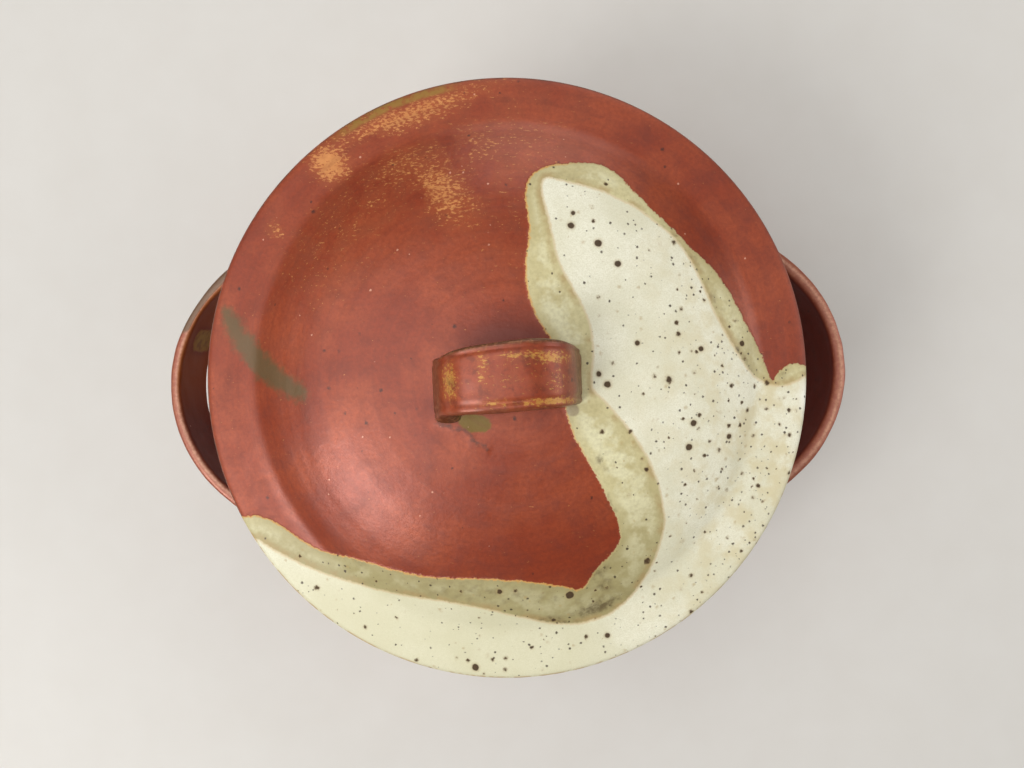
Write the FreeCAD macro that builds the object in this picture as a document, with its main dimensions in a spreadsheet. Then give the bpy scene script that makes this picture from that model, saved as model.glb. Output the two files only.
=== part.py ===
# Lidded stoneware pot: thrown body, two side strap handles, cap lid and lid strap handle.
# Millimetres, +Z up, origin on the table under the middle of the foot ring, +X to the right handle.
import FreeCAD, Part
import Sketcher
import math
import os
import re

os.makedirs("parts", exist_ok=True)
doc = FreeCAD.newDocument("StonewarePot")

# Driving dimensions: name, size, what it measures.
SIZES = [
    ("pot_height", 115, "table to the rim's seat"),
    ("belly_radius", 115, "widest outside radius of the wall"),
    ("belly_height", 60, "height of the widest place"),
    ("neck_inset", 7, "outside of the wall under the rim, in from the widest place"),
    ("neck_drop", 15, "rim's seat down to the neck"),
    ("wall", 6, "thickness of the thrown wall"),
    ("rim_width", 9, "width of the rim's seat, from the mouth outward"),
    ("rim_depth", 7, "height of the thickened rim"),
    ("rim_round", 2, "rounding of the rim's edges"),
    ("foot_inset", 35, "outside of the foot ring, in from the widest place"),
    ("foot_width", 7, "width of the foot ring's face"),
    ("foot_recess", 4, "hollow turned inside the foot ring"),
    ("foot_height", 8, "turned outer side of the foot ring"),
    ("foot_step", 4, "wall stands out past the foot ring"),
    ("foot_round", 1, "rounding of the foot ring's edges"),
    ("base_thick", 8, "thickness of the pot's floor"),
    ("floor_round", 14, "inside curve from floor to wall"),
    ("seat_gap", 0.3, "clearance between rim and resting lid"),
    ("flange_gap", 1.8, "clearance between mouth and flange"),
    ("flange_thick", 5, "thickness of the lid's locating flange"),
    ("flange_depth", 12, "flange below the lid's seat"),
    ("flange_round", 1.5, "rounding of the flange's lower edges"),
    ("lid_overhang", 10, "lid's edge past the rim's outside"),
    ("lid_wall", 6, "thickness of the lid's dome"),
    ("edge_thick", 7, "thickness of the lid's edge"),
    ("edge_round", 3, "rounding of the lid's edge"),
    ("band_width", 16, "flat band inside the lid's edge"),
    ("band_rise", 3, "how far the band climbs inward"),
    ("channel_width", 5, "turned channel inside the band"),
    ("channel_rise", 1, "channel's inner lip over its outer lip"),
    ("channel_depth", 1, "hollow of the channel"),
    ("channel_round", 2, "rounding of the channel's lips"),
    ("lid_rise", 33, "lid's seat to the top of the crown"),
    ("crown_radius", 55, "where the crown turns into the shoulder"),
    ("crown_drop", 4.5, "crown's middle down to where it turns"),
    ("ring_radius", 31, "radius of the turned line round the strap"),
    ("ring_width", 4, "width of the turned line"),
    ("ring_depth", 0.5, "depth of the turned line"),
    ("handle_out", 28.3, "belly to the middle of the side strap"),
    ("handle_spread", 58.5, "middle of the side strap out to where each end sinks into the wall"),
    ("handle_drop", 17, "rim's seat down to the strap's upper edge"),
    ("handle_tall", 32, "height of the side strap"),
    ("handle_thick", 5.4, "thickness of the side strap's edges"),
    ("handle_dish", 0.4, "hollow of each face of the side strap"),
    ("root_tall", 40, "strap's height where it sinks into the wall"),
    ("root_thick", 18, "strap's thickness where it sinks into the wall"),
    ("strap_length", 51, "lid strap's length over both legs"),
    ("strap_rise", 25, "lid strap's top above the crown"),
    ("strap_wide", 23.5, "width of the lid strap at its middle"),
    ("strap_taper", 6, "how much narrower the legs are"),
    ("strap_uneven", 1.5, "how much the right leg is wider than that, and the left one narrower"),
    ("strap_thick", 5.6, "thickness of the lid strap's edges"),
    ("strap_dish", 0.8, "hollow of each face of the lid strap"),
    ("strap_bow", 3, "feet stand this far in front of the strap's middle"),
    ("strap_lean", 2.2, "left foot stands this much further forward, and the right one further back"),
    ("strap_square", 0.05, "share that squares the arch's shoulders"),
    ("strap_sink", 8, "arch carried on past level into the lid, in degrees"),
    ("foot_wide", 24.5, "strap's width where it sinks into the lid"),
    ("foot_uneven", 2.5, "how much the left foot is wider than that, and the right one narrower"),
    ("foot_thick", 12, "strap's thickness where it sinks into the lid"),
    ("lid_turn", 2, "lid strap turned from the side handles' line, in degrees"),
]

sheet = doc.addObject("Spreadsheet::Sheet", "Sizes")
for row, (alias, size, meaning) in enumerate(SIZES, start=1):
    sheet.set(f"A{row}", alias)
    sheet.set(f"B{row}", str(size))
    sheet.set(f"C{row}", meaning)
    sheet.setAlias(f"B{row}", alias)
doc.recompute()

ALIAS = re.compile(r"\b(" + "|".join(alias for alias, _, _ in SIZES) + r")\b")

# Sizes that several pieces share, worked out from the driving ones.
NECK = "(belly_radius - neck_inset)"
NECK_HEIGHT = "(pot_height - neck_drop)"
MOUTH = f"({NECK} - wall)"
RIM = f"({MOUTH} + rim_width)"
FOOT = "(belly_radius - foot_inset)"
LID = f"({RIM} + lid_overhang)"
FLANGE = f"({MOUTH} - flange_gap)"
SEAT = "(pot_height + seat_gap)"
FLOOR = ("belly_radius - foot_inset + foot_step - wall", "foot_recess + base_thick")

# Sections along the lid's strap, and along half a side strap whose first two lie close together so that
# its halves meet square. Both are shares of the way from the strap's middle to its end.
ARCH_STATIONS = [-1, -0.85, -0.65, -0.35, 0, 0.35, 0.65, 0.85, 1]
LOOP_STATIONS = [0, 0.07, 0.35, 0.65, 0.85, 1]

# How late along a strap its roots swell.
SWELL_POWER = 6


def bound(text):
    """An expression in the words of the size table, tied to its cells."""
    return ALIAS.sub(r"Sizes.\1", text)


def value(text):
    """What such an expression comes to now."""
    found = sheet.evalExpression(bound(text))
    return float(getattr(found, "Value", found))


def new_body(label):
    """An empty body whose label names its piece."""
    body = doc.addObject("PartDesign::Body", label)
    body.Label = label
    return body


def origin_feature(body, role):
    """One of the body's own planes or axes."""
    return next(f for f in body.Origin.OriginFeatures if f.Role == role)


def new_sketch(body, name, role):
    """A sketch lying on one of the body's own planes."""
    sketch = body.newObject("Sketcher::SketchObject", name)
    sketch.AttachmentSupport = (origin_feature(body, role), [""])
    sketch.MapMode = "FlatFace"
    return sketch


def constrain(sketch, *parts, size=None):
    """Add one constraint; one with a size is bound to that expression."""
    if size is None:
        sketch.addConstraint(Sketcher.Constraint(*parts))
        return
    index = sketch.addConstraint(Sketcher.Constraint(*parts, value(size)))
    sketch.setExpression(f"Constraints[{index}]", bound(size))


def pin(sketch, piece, end, across, up):
    """Tie one end of a line or arc to its place."""
    for kind, axis, size in (("DistanceX", -2, across), ("DistanceY", -1, up)):
        if size == "0":
            constrain(sketch, "PointOnObject", piece, end, axis)
        else:
            constrain(sketch, kind, -1, 1, piece, end, size=size)


def add_arc(sketch, start, through, stop):
    """Add an arc, always turning left, and say which of its ends are the first and the last."""
    turns_left = (through - start).cross(stop - through).z > 0
    ends = (start, through, stop) if turns_left else (stop, through, start)
    piece = sketch.addGeometry(Part.Arc(*ends), False)
    return (piece, 1, 2) if turns_left else (piece, 2, 1)


def arc_middle(centre, start, stop):
    """Middle of the short arc between two points round a centre."""
    outward = (start + stop) * 0.5 - centre
    outward.normalize()
    return centre + outward * centre.distanceToPoint(start)


def tangent_centre(point, other, along):
    """Centre of the arc that leaves a point along a direction and meets another point."""
    side = FreeCAD.Vector(-along.y, along.x, 0)
    chord = other - point
    return point + side * (chord.dot(chord) / (2 * side.dot(chord)))


def bend_centre(kind, start, stop, neighbour):
    """Where a profile arc's centre lies, from the way it bends."""
    chord = stop - start
    if kind == "level with start":
        return start + FreeCAD.Vector(chord.dot(chord) / (2 * chord.x), 0, 0)
    if kind == "level with end":
        return stop - FreeCAD.Vector(chord.dot(chord) / (2 * chord.x), 0, 0)
    if kind == "on the axis":
        rise = (stop.x ** 2 + stop.y ** 2 - start.x ** 2 - start.y ** 2) / (2 * chord.y)
        return FreeCAD.Vector(0, rise, 0)
    joint, far = (start, stop) if kind == "smooth from last" else (stop, start)
    spoke = joint - neighbour
    spoke.normalize()
    return tangent_centre(joint, far, FreeCAD.Vector(-spoke.y, spoke.x, 0))


def dip_centre(start, stop, depth):
    """Centre of the arc that hollows an outward step by a depth."""
    chord = stop - start
    radius = (chord.dot(chord) / 4 + depth ** 2) / (2 * depth)
    up = FreeCAD.Vector(-chord.y, chord.x, 0)
    up.normalize()
    return (start + stop) * 0.5 + up * (radius - depth)


def outline(sketch, corners, bends):
    """Closed profile through corners; each step is straight unless bends gives its kind of arc."""
    spots = [FreeCAD.Vector(value(across), value(up), 0) for across, up in corners]
    count = len(spots)
    centres = {}
    waiting = []
    for step, kind in bends.items():
        if kind.startswith("smooth"):
            waiting.append((step, kind))
        elif kind.startswith("dip "):
            centres[step] = dip_centre(spots[step], spots[step + 1], value(kind[4:]))
        else:
            centres[step] = bend_centre(kind, spots[step], spots[step + 1], None)
    for step, kind in waiting:
        beside = centres[step - 1] if kind == "smooth from last" else centres[step + 1]
        centres[step] = bend_centre(kind, spots[step], spots[step + 1], beside)

    ends = {}
    for step in range(count):
        start, stop = spots[step], spots[(step + 1) % count]
        if step in centres:
            ends[step] = add_arc(sketch, start, arc_middle(centres[step], start, stop), stop)
        else:
            ends[step] = (sketch.addGeometry(Part.LineSegment(start, stop), False), 1, 2)

    for step in range(count):
        piece, _, last = ends[step]
        follower, first, _ = ends[(step + 1) % count]
        smooth = bends.get(step) == "smooth into next" or bends.get(step + 1) == "smooth from last"
        constrain(sketch, "Tangent" if smooth else "Coincident", piece, last, follower, first)
        pin(sketch, follower, first, *corners[(step + 1) % count])
    for step, kind in bends.items():
        piece, first, last = ends[step]
        if kind == "level with start":
            constrain(sketch, "Horizontal", piece, 3, piece, first)
        elif kind == "level with end":
            constrain(sketch, "Horizontal", piece, 3, piece, last)
        elif kind == "on the axis":
            constrain(sketch, "PointOnObject", piece, 3, -2)
        elif kind.startswith("dip "):
            (across, up), (far_across, far_up) = corners[step], corners[step + 1]
            chord = f"(({across} - {far_across})^2 + ({up} - {far_up})^2)"
            constrain(sketch, "Radius", piece, size=f"({chord} / 4 + {kind[4:]}^2) / (2 * {kind[4:]})")


def turn(body, kind, name, sketch):
    """Turn a profile all the way round the pot's axis, to add or to cut."""
    feature = body.newObject(kind, name)
    feature.Profile = sketch
    feature.ReferenceAxis = (origin_feature(body, "Z_Axis"), [""])
    feature.Angle = 360
    doc.recompute()
    return feature


def ring_edges(feature, across, up):
    """Names of the feature's round edges with a radius, at a height."""
    names = []
    for number, edge in enumerate(feature.Shape.Edges, start=1):
        if edge.Degenerated or not isinstance(edge.Curve, Part.Circle):
            continue
        curve = edge.Curve
        if abs(curve.Radius - value(across)) < 1e-4 and abs(curve.Center.z - value(up)) < 1e-4:
            names.append(f"Edge{number}")
    return names


def round_rings(body, name, rings, size):
    """Round the turned edges at the given radii and heights."""
    feature = body.Tip
    names = [edge for across, up in rings for edge in ring_edges(feature, across, up)]
    fillet = body.newObject("PartDesign::Fillet", name)
    fillet.Base = (feature, names)
    fillet.setExpression("Radius", bound(size))
    doc.recompute()


def outer_wall():
    """Outside of the pot from foot to rim, as corners and bends."""
    corners = [
        (f"{FOOT} + foot_step", "foot_height"),
        ("belly_radius", "belly_height"),
        (NECK, NECK_HEIGHT),
        (RIM, "pot_height - rim_depth"),
        (RIM, "pot_height"),
    ]
    return corners, {0: "level with end", 1: "level with start"}


def outer_dome():
    """Top of the lid from its middle to its edge, as corners and bends, up from its seat."""
    corners = [
        ("0", "lid_rise"),
        ("crown_radius", "lid_rise - crown_drop"),
        (f"{LID} - band_width - channel_width", "edge_thick + band_rise + channel_rise"),
        (f"{LID} - band_width", "edge_thick + band_rise"),
        (LID, "edge_thick"),
    ]
    return corners, {0: "on the axis", 1: "smooth from last", 2: "dip channel_depth"}


def pot_body():
    """Thrown pot with a turned foot ring and a thickened rim."""
    body = new_body("pot_body")
    wall_corners, bends = outer_wall()
    corners = wall_corners + [
        (MOUTH, "pot_height"),
        (MOUTH, NECK_HEIGHT),
        ("belly_radius - wall", "belly_height"),
        FLOOR,
        ("0", "foot_recess + base_thick"),
        ("0", "foot_recess"),
        (f"{FOOT} - foot_width", "foot_recess"),
        (f"{FOOT} - foot_width", "0"),
        (FOOT, "0"),
        (FOOT, "foot_height"),
    ]
    bends.update({6: "level with end", 7: "level with start"})
    sketch = new_sketch(body, "PotProfile", "XZ_Plane")
    outline(sketch, corners, bends)
    turn(body, "PartDesign::Revolution", "ThrownWall", sketch)
    round_rings(body, "RimRounding", [(RIM, "pot_height"), (MOUTH, "pot_height")], "rim_round")
    round_rings(body, "FloorCurve", [FLOOR], "floor_round")
    round_rings(body, "FootRounding", [(FOOT, "0"), (f"{FOOT} - foot_width", "0")], "foot_round")
    return body


def lid():
    """Cap lid with an overhanging edge and a locating flange, modelled up from its seat."""
    body = new_body("lid")
    corners, bends = outer_dome()
    under = "edge_thick + band_rise - lid_wall / 2"
    corners = corners + [
        (LID, "0"),
        (FLANGE, "0"),
        (FLANGE, "-flange_depth"),
        (f"{FLANGE} - flange_thick", "-flange_depth"),
        (f"{FLANGE} - flange_thick", under),
        ("crown_radius", "lid_rise - crown_drop - lid_wall"),
        ("0", "lid_rise - lid_wall"),
    ]
    bends.update({9: "smooth into next", 10: "on the axis"})
    sketch = new_sketch(body, "LidProfile", "XZ_Plane")
    outline(sketch, corners, bends)
    turn(body, "PartDesign::Revolution", "ThrownLid", sketch)
    round_rings(body, "EdgeRounding", [(LID, "edge_thick"), (LID, "0")], "edge_round")
    flange_edges = [(FLANGE, "-flange_depth"), (f"{FLANGE} - flange_thick", "-flange_depth")]
    round_rings(body, "FlangeRounding", flange_edges, "flange_round")
    lips = [
        (f"{LID} - band_width - channel_width", "edge_thick + band_rise + channel_rise"),
        (f"{LID} - band_width", "edge_thick + band_rise"),
    ]
    round_rings(body, "ChannelRounding", lips, "channel_round")
    turned_line(body)
    body.setExpression("Placement.Base.z", bound(SEAT))
    return body


def turned_line(body):
    """Shallow line cut round the crown, outside the strap's feet."""
    cutter = "(ring_width^2 / 4 + ring_depth^2) / (2 * ring_depth)"
    crown = "(crown_radius^2 + crown_drop^2) / (2 * crown_drop)"
    surface = f"(lid_rise - {crown} + sqrt(({crown})^2 - ring_radius^2))"
    height = f"{surface} + {cutter} - ring_depth"
    sketch = new_sketch(body, "LineProfile", "XZ_Plane")
    centre = FreeCAD.Vector(value("ring_radius"), value(height), 0)
    circle = Part.Circle(centre, FreeCAD.Vector(0, 0, 1), value(cutter))
    piece = sketch.addGeometry(circle, False)
    pin(sketch, piece, 3, "ring_radius", height)
    constrain(sketch, "Radius", piece, size=cutter)
    turn(body, "PartDesign::Groove", "TurnedLine", sketch)


def strap_section(sketch, wide, thick, dish, upright):
    """Strap's cross-section: round raised edges and a hollow on each face."""
    edge = value(f"({thick}) / 2")
    half = value(f"({wide}) / 2") - edge
    hollow = value(dish)
    radius = (half ** 2 + hollow ** 2 - 2 * edge * hollow) / (2 * hollow)
    middle = radius + edge - hollow

    def spot(along, through):
        return FreeCAD.Vector(through, along, 0) if upright else FreeCAD.Vector(along, through, 0)

    def joint(along_sign, through_sign):
        reach = math.hypot(half, middle)
        return spot(along_sign * (half - edge * half / reach), through_sign * edge * middle / reach)

    arcs = [
        (joint(1, -1), spot(half + edge, 0), joint(1, 1)),
        (joint(1, 1), spot(0, edge - hollow), joint(-1, 1)),
        (joint(-1, 1), spot(-half - edge, 0), joint(-1, -1)),
        (joint(-1, -1), spot(0, hollow - edge), joint(1, -1)),
    ]
    pieces = [add_arc(sketch, *points) for points in arcs]
    for index in range(4):
        piece, _, last = pieces[index]
        follower, first, _ = pieces[(index + 1) % 4]
        constrain(sketch, "Tangent", piece, last, follower, first)
    axis, kind = (-2, "DistanceY") if upright else (-1, "DistanceX")
    near, far = pieces[0][0], pieces[2][0]
    constrain(sketch, "PointOnObject", near, 3, axis)
    constrain(sketch, kind, -1, 1, near, 3, size=f"({wide}) / 2 - ({thick}) / 2")
    constrain(sketch, "Symmetric", near, 3, far, 3, -1, 1)
    constrain(sketch, "Radius", near, size=f"({thick}) / 2")
    constrain(sketch, "Equal", near, far)
    span = f"((({wide}) - ({thick})) / 2)"
    face = f"({span}^2 + {dish}^2 - ({thick}) * {dish}) / (2 * {dish})"
    constrain(sketch, "Radius", pieces[1][0], size=face)
    constrain(sketch, "Equal", pieces[1][0], pieces[3][0])


def stand(sketch, offset, turned_about, angle):
    """Move a section's sketch to its place along the strap and square to it."""
    sketch.AttachmentOffset = FreeCAD.Placement(
        FreeCAD.Vector(*(value(part) for part in offset)),
        FreeCAD.Rotation(turned_about, value(angle)),
    )
    for letter, part in zip("xyz", offset):
        sketch.setExpression(f"AttachmentOffset.Base.{letter}", bound(part))
    sketch.setExpression("AttachmentOffset.Rotation.Angle", bound(angle))


def loft(body, name, sections):
    """One smooth solid through the sections in order."""
    feature = body.newObject("PartDesign::AdditiveLoft", name)
    feature.Profile = sections[0]
    feature.Sections = sections[1:]
    feature.Ruled = False
    feature.Closed = False
    doc.recompute()


def both_ways(body, name):
    """Repeat the half strap on the other side of its middle."""
    half = body.Tip
    mirrored = body.newObject("PartDesign::Mirrored", name)
    mirrored.Originals = [half]
    mirrored.MirrorPlane = (origin_feature(body, "XZ_Plane"), [""])
    body.Tip = mirrored
    doc.recompute()


def cut_seat(body, name, corners, bends):
    """Cut the strap's ends to the surface that they are luted to."""
    sketch = new_sketch(body, name + "Profile", "XZ_Plane")
    outline(sketch, corners, bends)
    turn(body, "PartDesign::Groove", name, sketch)


def side_handle(label, facing):
    """Strap that loops out from the wall, standing on edge."""
    body = new_body(label)
    out = f"(belly_radius + handle_out - {MOUTH})"
    span = f"asin(handle_spread / {MOUTH})"
    middle = "(pot_height - handle_drop - handle_tall / 2)"
    sections = []
    for number, share in enumerate(LOOP_STATIONS, start=1):
        swell = share ** SWELL_POWER
        polar = f"({span} * {share})"
        radius = f"({MOUTH} + {out} * cos({90 * share} * 1deg))"
        lean = f"atan({out} * 90deg / {span} * sin({90 * share} * 1deg) / {radius})"
        tall = f"handle_tall + (root_tall - handle_tall) * {swell}"
        thick = f"handle_thick + (root_thick - handle_thick) * {swell}"
        sketch = new_sketch(body, f"Section{number}", "XZ_Plane")
        strap_section(sketch, tall, thick, "handle_dish", True)
        offset = (f"{radius} * cos({polar})", middle, f"-{radius} * sin({polar})")
        stand(sketch, offset, FreeCAD.Vector(0, 1, 0), f"{polar} + {lean}")
        sections.append(sketch)
    loft(body, "PulledStrap", sections)
    both_ways(body, "PulledBothWays")
    corners, bends = outer_wall()
    cut_seat(body, "WallSeat", corners + [("0", "pot_height"), ("0", "foot_height")], bends)
    body.Placement = FreeCAD.Placement(
        FreeCAD.Vector(0, 0, 0), FreeCAD.Rotation(FreeCAD.Vector(0, 0, 1), facing)
    )
    return body


def lid_handle():
    """Strap that arches over the lid's crown, modelled up from the lid's seat."""
    body = new_body("lid_handle")
    square = "strap_square"
    half = f"((strap_length - strap_thick) / 2 / (1 - {square}))"
    rise = f"((strap_rise - strap_thick / 2) / (1 - {square}))"
    sections = []
    for number, share in enumerate(ARCH_STATIONS, start=1):
        swell = share ** SWELL_POWER
        around = f"(90deg - {share} * (90 + strap_sink) * 1deg)"
        across = f"{half} * (cos({around}) - {square} * cos(3 * {around}))"
        up = f"lid_rise + {rise} * (sin({around}) + {square} * sin(3 * {around}))"
        back = f"-(strap_bow * {share ** 2} - strap_lean * {share})"
        outward = f"{rise} * (cos({around}) + 3 * {square} * cos(3 * {around}))"
        upward = f"{half} * (sin({around}) - 3 * {square} * sin(3 * {around}))"
        narrowed = f"(strap_wide - strap_taper * {share ** 2} + strap_uneven * {share})"
        wide = f"{narrowed} + (foot_wide - foot_uneven * {share} - {narrowed}) * {swell}"
        thick = f"strap_thick + (foot_thick - strap_thick) * {swell}"
        sketch = new_sketch(body, f"Section{number}", "YZ_Plane")
        strap_section(sketch, wide, thick, "strap_dish", False)
        stand(sketch, (back, up, across), FreeCAD.Vector(1, 0, 0), f"atan2({outward}; {upward})")
        sections.append(sketch)
    loft(body, "PulledStrap", sections)
    corners, bends = outer_dome()
    cut_seat(body, "CrownSeat", corners + [(LID, "0"), ("0", "0")], bends)
    body.setExpression("Placement.Base.z", bound(SEAT))
    body.setExpression("Placement.Rotation.Angle", bound("lid_turn"))
    return body


pieces = [
    pot_body(),
    side_handle("handle_right", 0),
    side_handle("handle_left", 180),
    lid(),
    lid_handle(),
]
doc.recompute()

for item in doc.Objects:
    if "Invalid" in item.State or "Error" in item.State:
        raise RuntimeError(f"{item.Label} did not recompute: {item.State}")
for piece in pieces:
    if piece.Shape.isNull() or not piece.Shape.isValid() or len(piece.Shape.Solids) != 1:
        raise RuntimeError(f"{piece.Label} is not one sound solid")
    piece.Shape.exportStep(f"parts/{piece.Label}.step")
    print(piece.Label, round(piece.Shape.Volume), piece.Shape.BoundBox)
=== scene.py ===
import math

import bpy
import numpy as np
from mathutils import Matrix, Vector


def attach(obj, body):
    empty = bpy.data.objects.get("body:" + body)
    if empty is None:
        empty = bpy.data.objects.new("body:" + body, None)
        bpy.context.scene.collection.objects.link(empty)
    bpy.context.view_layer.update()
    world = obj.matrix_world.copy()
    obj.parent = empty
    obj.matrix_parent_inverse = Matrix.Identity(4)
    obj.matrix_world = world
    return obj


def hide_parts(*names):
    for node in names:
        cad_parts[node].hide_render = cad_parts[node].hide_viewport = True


# Lidded stoneware pot, thrown and hand pulled, dressed for its photograph from straight above.
# Metres in the CAD frame; sizes written with MM are millimetres.
MM = 0.001

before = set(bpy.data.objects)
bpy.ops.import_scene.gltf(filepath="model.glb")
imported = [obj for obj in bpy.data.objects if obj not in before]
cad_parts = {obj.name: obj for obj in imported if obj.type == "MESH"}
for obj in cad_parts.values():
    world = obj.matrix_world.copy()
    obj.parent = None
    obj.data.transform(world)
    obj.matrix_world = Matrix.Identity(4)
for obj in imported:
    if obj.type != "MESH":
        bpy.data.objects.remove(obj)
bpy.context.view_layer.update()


def linear(hex_colour):
    """An sRGB hex colour as the linear colour that a socket takes."""
    parts = [int(hex_colour[place:place + 2], 16) / 255 for place in (1, 3, 5)]
    return [p / 12.92 if p <= 0.04045 else ((p + 0.055) / 1.055) ** 2.4 for p in parts] + [1]


def add(tree, kind, inputs=None, out=0, **settings):
    """Add a node with its settings, values and links, and give back the socket that comes out of it."""
    node = tree.nodes.new("ShaderNode" + kind)
    for name, setting in settings.items():
        setattr(node, name, setting)
    for socket, given in (inputs or {}).items():
        if isinstance(given, bpy.types.NodeSocket):
            tree.links.new(given, node.inputs[socket])
        else:
            node.inputs[socket].default_value = given
    return node.outputs[out]


# Settings that many nodes share.
BLEND = {"out": 2, "data_type": "RGBA"}
SOFT = {"interpolation_type": "SMOOTHSTEP"}
TIMES = {"operation": "MULTIPLY"}
TIMES_PLUS = {"operation": "MULTIPLY_ADD"}


# Modelling by hand: a start is added, drawn out in edit mode and finished with modifiers.

def start_line(name, across, up):
    """One point in edit mode, ready to be drawn out."""
    bpy.ops.object.select_all(action="DESELECT")
    bpy.ops.mesh.primitive_plane_add(size=MM, location=(0, 0, 0))
    piece = bpy.context.object
    piece.name = name
    piece.data.name = name
    bpy.ops.object.mode_set(mode="EDIT")
    bpy.ops.mesh.merge(type="CENTER")
    bpy.ops.transform.translate(value=(across * MM, 0, up * MM))
    return piece


def throw(name, profile, steps):
    """Draw a profile point by point and turn it all the way round the wheel's axis."""
    piece = start_line(name, *profile[0])
    for (across, up), (last_across, last_up) in zip(profile[1:], profile):
        pull = ((across - last_across) * MM, 0, (up - last_up) * MM)
        bpy.ops.mesh.extrude_region_move(TRANSFORM_OT_translate={"value": pull})
    bpy.ops.mesh.select_all(action="SELECT")
    bpy.ops.mesh.spin(steps=steps, angle=math.tau, center=(0, 0, 0), axis=(0, 0, 1))
    bpy.ops.mesh.select_all(action="SELECT")
    bpy.ops.mesh.remove_doubles(threshold=0.01 * MM)
    bpy.ops.mesh.normals_make_consistent(inside=False)
    bpy.ops.object.mode_set(mode="OBJECT")
    return piece


def finish_with(piece, kind, **settings):
    """Put one modifier on a piece and apply it."""
    modifier = piece.modifiers.new(kind.title(), kind)
    for name, setting in settings.items():
        setattr(modifier, name, setting)
    bpy.context.view_layer.objects.active = piece
    bpy.ops.object.modifier_apply(modifier=modifier.name)


def smooth(piece, levels):
    """Round a piece off and shade it smooth."""
    finish_with(piece, "SUBSURF", levels=levels, render_levels=levels)
    bpy.ops.object.select_all(action="DESELECT")
    piece.select_set(True)
    bpy.context.view_layer.objects.active = piece
    bpy.ops.object.shade_smooth()


def points_of(piece):
    """A piece's points as rows of x, y, z in millimetres."""
    found = np.zeros(len(piece.data.vertices) * 3)
    piece.data.vertices.foreach_get("co", found)
    return found.reshape(-1, 3) / MM


def normals_of(piece):
    """Which way each point's surface faces."""
    found = np.zeros(len(piece.data.vertices) * 3)
    piece.data.vertex_normals.foreach_get("vector", found)
    return found.reshape(-1, 3)


def move_points(piece, points):
    """Put a piece's points at rows of x, y, z in millimetres."""
    piece.data.vertices.foreach_set("co", (points * MM).ravel())
    piece.data.update()


def mark(piece, name, values):
    """Keep one number for each point, for the glaze to read."""
    attribute = piece.data.attributes.new(name, "FLOAT", "POINT")
    attribute.data.foreach_set("value", values.astype(np.float32))


def ease(values, low, high):
    """From 0 at low to 1 at high, without corners."""
    share = np.clip((values - low) / (high - low), 0, 1)
    return share * share * (3 - 2 * share)


# Profiles in millimetres, drawn as runs of points.

def level_arc(start, end, level, steps):
    """Points after start, up to end, on the arc whose centre is at a height."""
    (x1, z1), (x2, z2) = start, end
    centre = ((x1 ** 2 - x2 ** 2) + (z1 - level) ** 2 - (z2 - level) ** 2) / (2 * (x1 - x2))
    radius = math.hypot(x1 - centre, z1 - level)
    first = math.atan2(z1 - level, x1 - centre)
    last = math.atan2(z2 - level, x2 - centre)
    turns = [first + (last - first) * step / steps for step in range(1, steps + 1)]
    return [(centre + radius * math.cos(turn), level + radius * math.sin(turn)) for turn in turns]


def bow(start, end, rise, steps):
    """Points after start, up to end, on the arc that stands that far to the left of its chord."""
    (x1, z1), (x2, z2) = start, end
    run, climb = x2 - x1, z2 - z1
    chord = math.hypot(run, climb)
    radius = (chord ** 2 / 4 + rise ** 2) / (2 * rise)
    points = []
    for step in range(1, steps + 1):
        along = step / steps * chord
        off = math.copysign(math.sqrt(radius ** 2 - (along - chord / 2) ** 2), rise) - (radius - rise)
        points.append((x1 + run * along / chord - climb * off / chord,
                       z1 + climb * along / chord + run * off / chord))
    return points


def corner(before, at, after, radius, steps=3):
    """Points round a corner between straight runs."""
    into = np.subtract(at, before) / math.dist(at, before)
    away = np.subtract(after, at) / math.dist(after, at)
    turn = math.acos(float(np.clip(into @ away, -1, 1)))
    reach = radius * math.tan(turn / 2)
    first = np.subtract(at, into * reach)
    side = math.copysign(1, into[0] * away[1] - into[1] * away[0])
    centre = first + side * radius * np.array([-into[1], into[0]])
    arms = first - centre
    points = []
    for step in range(steps + 1):
        angle = side * turn * step / steps
        turned = (arms[0] * math.cos(angle) - arms[1] * math.sin(angle),
                  arms[0] * math.sin(angle) + arms[1] * math.cos(angle))
        points.append(tuple(centre + turned))
    return points


def straight(start, end, steps):
    """Points after start, up to end, on a straight run."""
    return [(start[0] + (end[0] - start[0]) * step / steps,
             start[1] + (end[1] - start[1]) * step / steps) for step in range(1, steps + 1)]


# Sizes of the pot and its lid. A pair is a radius and a height.
POT_HEIGHT = 115
BELLY = (115, 60)
WALL = 6
NECK = (108, 99)
MOUTH = 102
RIM = 111
FOOT = 80
FOOT_RING = 7
FOOT_HOLLOW = 4
FLOOR = 12
SEAT = 115.3
LID = 121
FLANGE = 100.2
FLANGE_THICK = 5
FLANGE_END = 103.3
CROWN = 148.3
SHOULDER = (55, 143.8)
CHANNEL = (100, 126.3)
SIDE_TALL = 32
SIDE_DROP = 17
STRAP_LENGTH = 51
STRAP_RISE = 25
STRAP_THICK = 5.6


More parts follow.
